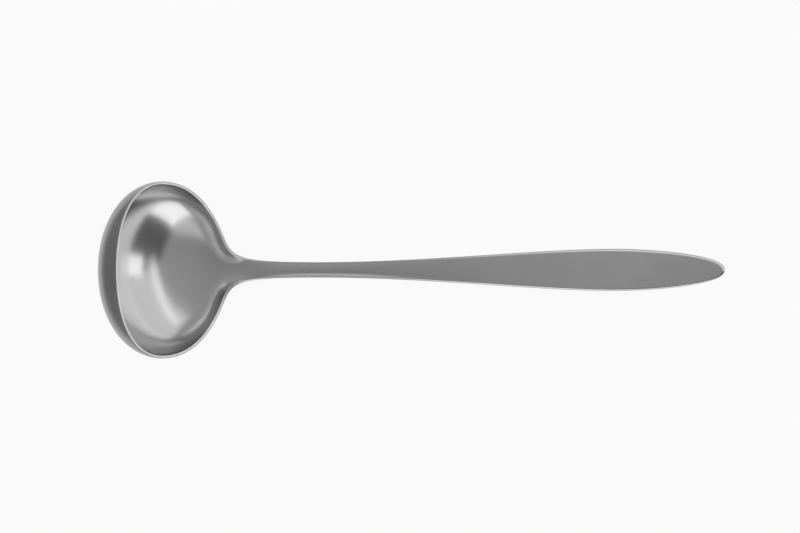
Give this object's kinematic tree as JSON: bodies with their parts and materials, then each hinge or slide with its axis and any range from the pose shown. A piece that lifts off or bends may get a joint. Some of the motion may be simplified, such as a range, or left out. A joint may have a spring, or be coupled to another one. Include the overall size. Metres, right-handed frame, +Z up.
{
  "type": "ladle",
  "caption": "Stainless steel soup ladle lying on a table: a deep drawn bowl butt-welded at its neck to a long leaf-shaped pressed handle with a rounded tip.",
  "frame": {"origin": "on the table under the middle of the ladle's length, in its plane of symmetry", "axes": "+X along the handle from the bowl to the tip, +Y across the bowl, +Z up from the table"},
  "size_m": [0.2838, 0.079, 0.0551],
  "materials": {
    "bowl_steel": "satin polished stainless steel with a bright rim",
    "weld_steel": "stainless weld ground flush and satin polished",
    "handle_steel": "satin polished stainless steel with rounded edges"
  },
  "bodies": {
    "root": {"bowl": "bowl_steel", "neck_weld": "weld_steel", "handle": "handle_steel"}
  },
  "joints": []
}
